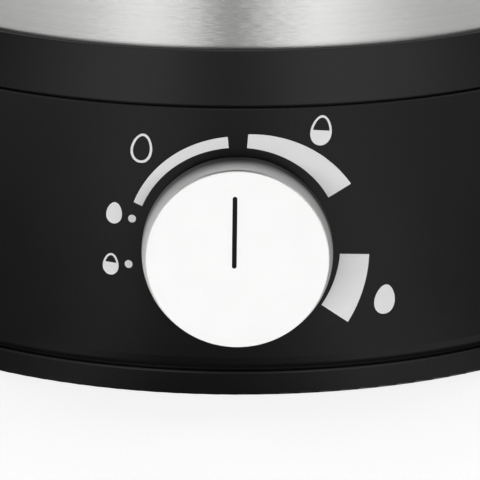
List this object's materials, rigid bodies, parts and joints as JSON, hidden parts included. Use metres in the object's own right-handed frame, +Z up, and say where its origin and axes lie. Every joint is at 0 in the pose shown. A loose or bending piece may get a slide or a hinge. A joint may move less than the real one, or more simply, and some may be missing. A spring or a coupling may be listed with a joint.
{
  "type": "electric egg cooker",
  "caption": "Round countertop egg steamer with a black base, white front dial, brushed steel wall, side rocker switch, lift-out egg tray and clear domed lid.",
  "frame": {"origin": "on the table under the centre of the round base, at the bottom of the feet", "axes": "+Z up; the dial faces -Y, the rocker switch is on the +X side and the cord gland at +Y"},
  "size_m": [0.1716, 0.185, 0.1708],
  "materials": {
    "black_plastic": "satin moulded black",
    "foot_rubber": "matt",
    "zinc_steel": "zinc plated",
    "brushed_steel": "brushed round the body",
    "bowl_steel": "spun satin",
    "silicone": "grey silicone",
    "cast_aluminium": "as cast",
    "element_sheath": "annealed sheath",
    "phenolic": "moulded phenolic",
    "ceramic_white": "matt",
    "shield_aluminium": "rolled sheet",
    "board_green": "coated board",
    "control_case": "moulded",
    "relay_blue": "moulded",
    "winding_yellow": "taped winding",
    "capacitor_red": "dipped",
    "contact_brass": "stamped",
    "rocker_black": "gloss",
    "lens_red": "tinted lamp lens",
    "knob_white": "satin white",
    "tray_steel": "pressed satin",
    "handle_black": "satin heat-proof plastic",
    "clear_lid": "clear polished"
  },
  "bodies": {
    "base": {"bottom_plate": "black_plastic", "rubber_feet": "foot_rubber", "base_screws": "zinc_steel", "housing": "black_plastic", "collar": "black_plastic", "collar_screws": "zinc_steel", "steel_shell": "brushed_steel", "heating_bowl": "bowl_steel", "bowl_gasket": "silicone", "bowl_studs": "zinc_steel", "bowl_nuts": "zinc_steel", "heat_spreader": "cast_aluminium", "heating_element": "element_sheath", "element_terminals": "zinc_steel", "thermostat": "phenolic", "thermostat_strap": "zinc_steel", "strap_screws": "zinc_steel", "thermal_fuse": "ceramic_white", "heat_shield": "shield_aluminium", "control_board": "board_green", "board_screws": "zinc_steel", "dial_control": "control_case", "dial_nut": "zinc_steel", "relay": "relay_blue", "transformer": "winding_yellow", "buzzer": "black_plastic", "filter_capacitor": "capacitor_red", "terminal_block": "ceramic_white", "terminal_screws": "zinc_steel", "cord_gland": "foot_rubber", "switch_housing": "black_plastic", "switch_contacts": "contact_brass"},
    "dial": {"dial_shaft": "zinc_steel", "knob": "knob_white", "knob_pointer": "black_plastic", "knob_clip": "zinc_steel"},
    "power_rocker": {"rocker": "rocker_black", "rocker_lens": "lens_red"},
    "tray": {"egg_tray": "tray_steel", "tray_handle": "handle_black", "tray_screw": "zinc_steel"},
    "lid_body": {"lid": "clear_lid", "lid_knob": "handle_black", "lid_knob_cap": "brushed_steel", "lid_screw": "zinc_steel", "lid_washer": "silicone"}
  },
  "joints": [
    {"name": "knob_turn", "type": "hinge", "parent": "base", "child": "dial", "pos_m": [0, -0.085, 0.0318], "axis": [0, 1, 0], "range_deg": [-105, 130]},
    {"name": "rocker_tilt", "type": "hinge", "parent": "base", "child": "power_rocker", "pos_m": [0.0808, 0, 0.0317], "axis": [0, -1, 0], "range_deg": [0, 16]},
    {"name": "tray_lift", "type": "slide", "parent": "base", "child": "tray", "axis": [0, 0, 1], "range_m": [0, 0.08]},
    {"name": "lid_lift", "type": "slide", "parent": "tray", "child": "lid_body", "axis": [0, 0, 1], "range_m": [0, 0.08]}
  ]
}
